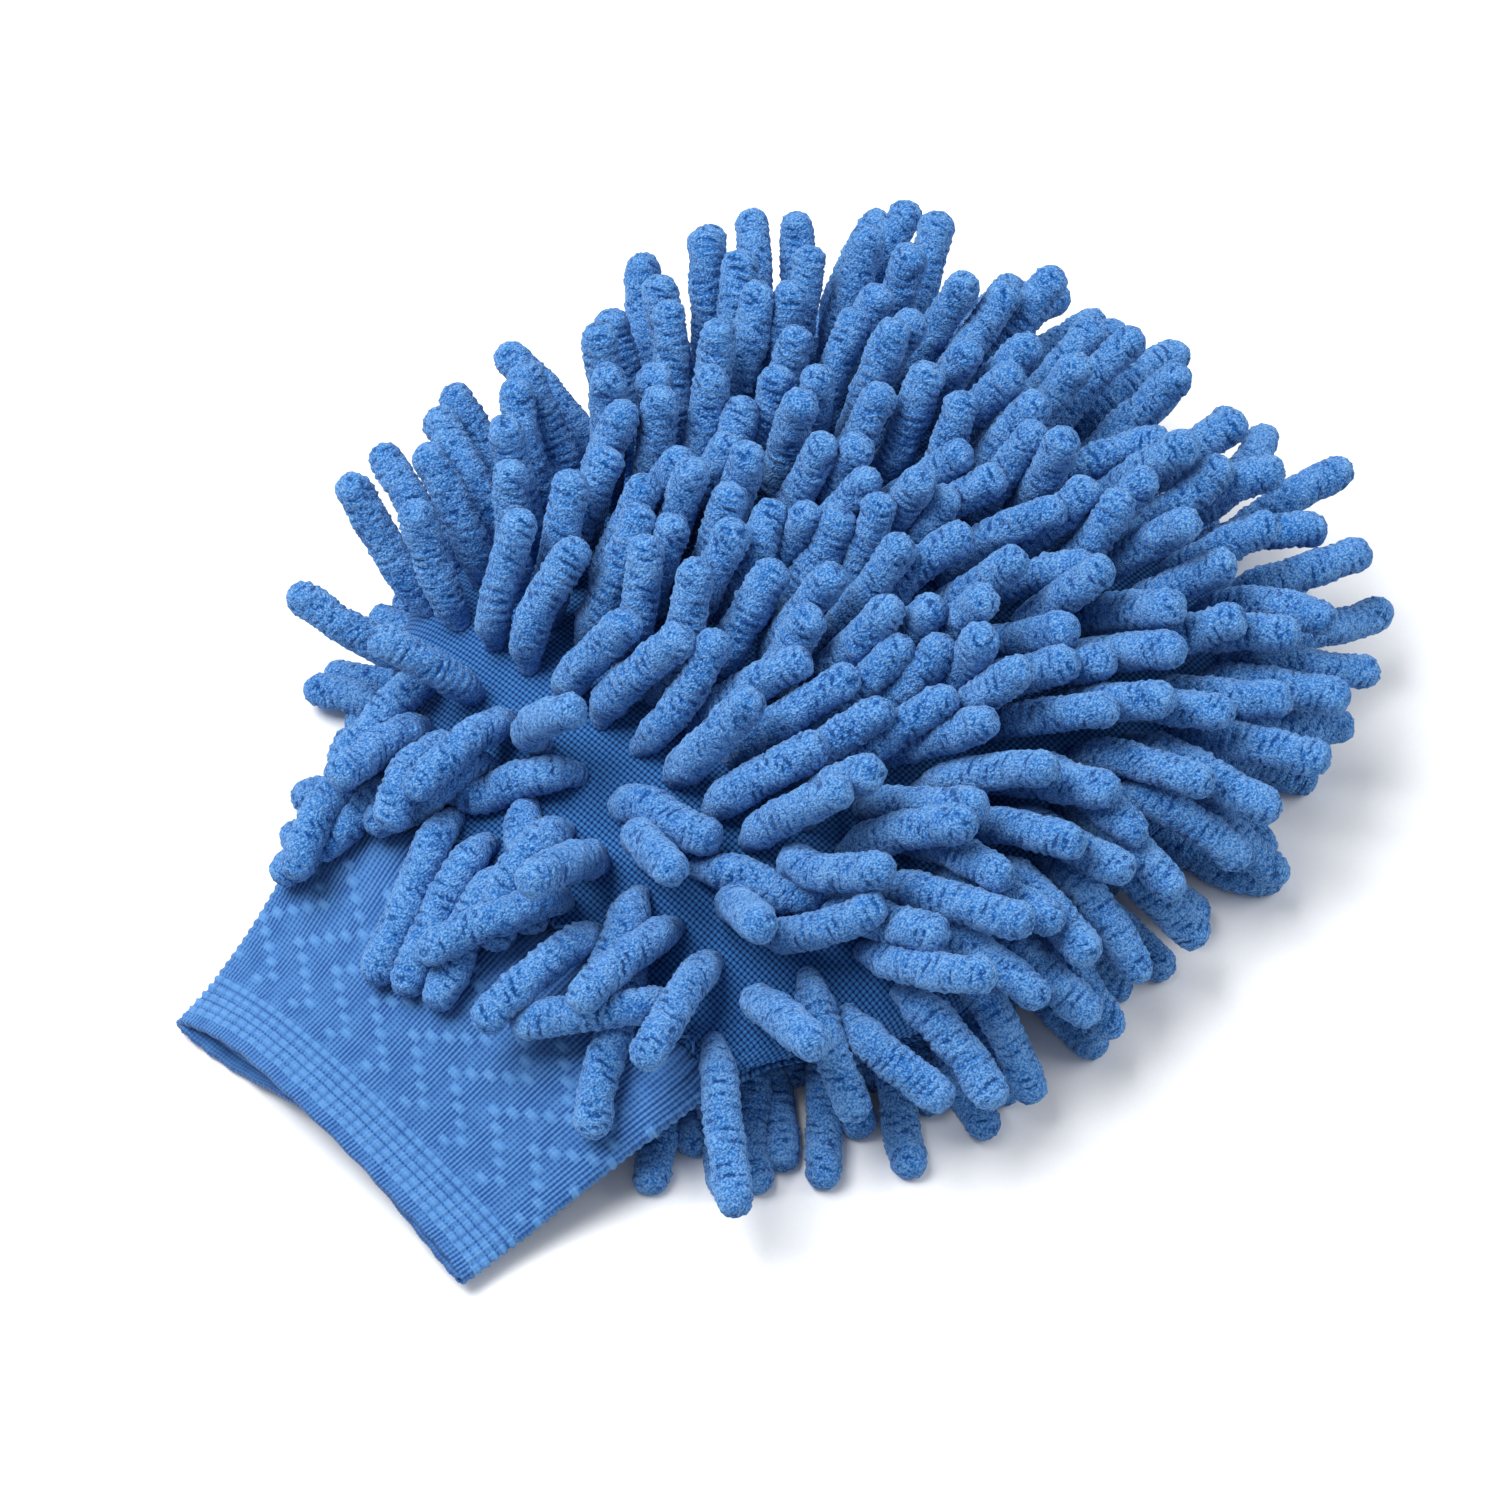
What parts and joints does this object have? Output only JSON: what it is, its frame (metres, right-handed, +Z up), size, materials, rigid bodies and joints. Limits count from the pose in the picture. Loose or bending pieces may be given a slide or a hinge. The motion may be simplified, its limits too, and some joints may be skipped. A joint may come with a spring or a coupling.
{
  "type": "wash mitt",
  "caption": "Slip-on wash mitt: a flat cloth pocket covered on both sides with fat chenille fingers, with an elasticated rib-knit cuff.",
  "frame": {"origin": "centre of the underside of the whole mitt's box, on the ground that the palm side lies on", "axes": "+X along the length from the cuff to the tip, +Y across the width, +Z up through the back of the hand"},
  "size_m": [0.2432, 0.1774, 0.0695],
  "materials": {
    "chenille_pile": "matte",
    "base_cloth": "matte",
    "cuff_knit": "matte",
    "sewing_thread": "matte",
    "elastic_thread": "matte"
  },
  "bodies": {
    "pocket": {"back_fingers_01": "chenille_pile", "back_fingers_02": "chenille_pile", "back_fingers_03": "chenille_pile", "back_fingers_04": "chenille_pile", "back_fingers_05": "chenille_pile", "back_fingers_06": "chenille_pile", "back_fingers_07": "chenille_pile", "back_fingers_08": "chenille_pile", "back_fingers_09": "chenille_pile", "back_fingers_10": "chenille_pile", "back_fingers_11": "chenille_pile", "back_fingers_12": "chenille_pile", "back_fingers_13": "chenille_pile", "back_fingers_14": "chenille_pile", "back_fingers_15": "chenille_pile", "back_fingers_16": "chenille_pile", "back_panel": "base_cloth", "back_row_stitching": "sewing_thread", "cuff_seam": "sewing_thread", "palm_fingers_01": "chenille_pile", "palm_fingers_02": "chenille_pile", "palm_fingers_03": "chenille_pile", "palm_fingers_04": "chenille_pile", "palm_fingers_05": "chenille_pile", "palm_fingers_06": "chenille_pile", "palm_fingers_07": "chenille_pile", "palm_fingers_08": "chenille_pile", "palm_fingers_09": "chenille_pile", "palm_fingers_10": "chenille_pile", "palm_fingers_11": "chenille_pile", "palm_fingers_12": "chenille_pile", "palm_fingers_13": "chenille_pile", "palm_fingers_14": "chenille_pile", "palm_fingers_15": "chenille_pile", "palm_fingers_16": "chenille_pile", "palm_panel": "base_cloth", "palm_row_stitching": "sewing_thread", "perimeter_seam": "sewing_thread"},
    "cuff": {"cuff": "cuff_knit", "cuff_side_seam": "sewing_thread", "cuff_elastic_threads": "elastic_thread"}
  },
  "joints": [
    {"name": "cuff_flex", "type": "hinge", "parent": "pocket", "child": "cuff", "pos_m": [-0.06548, 0.00373, 0.0195], "axis": [0, 1, 0], "range_deg": [-30, 30]}
  ]
}
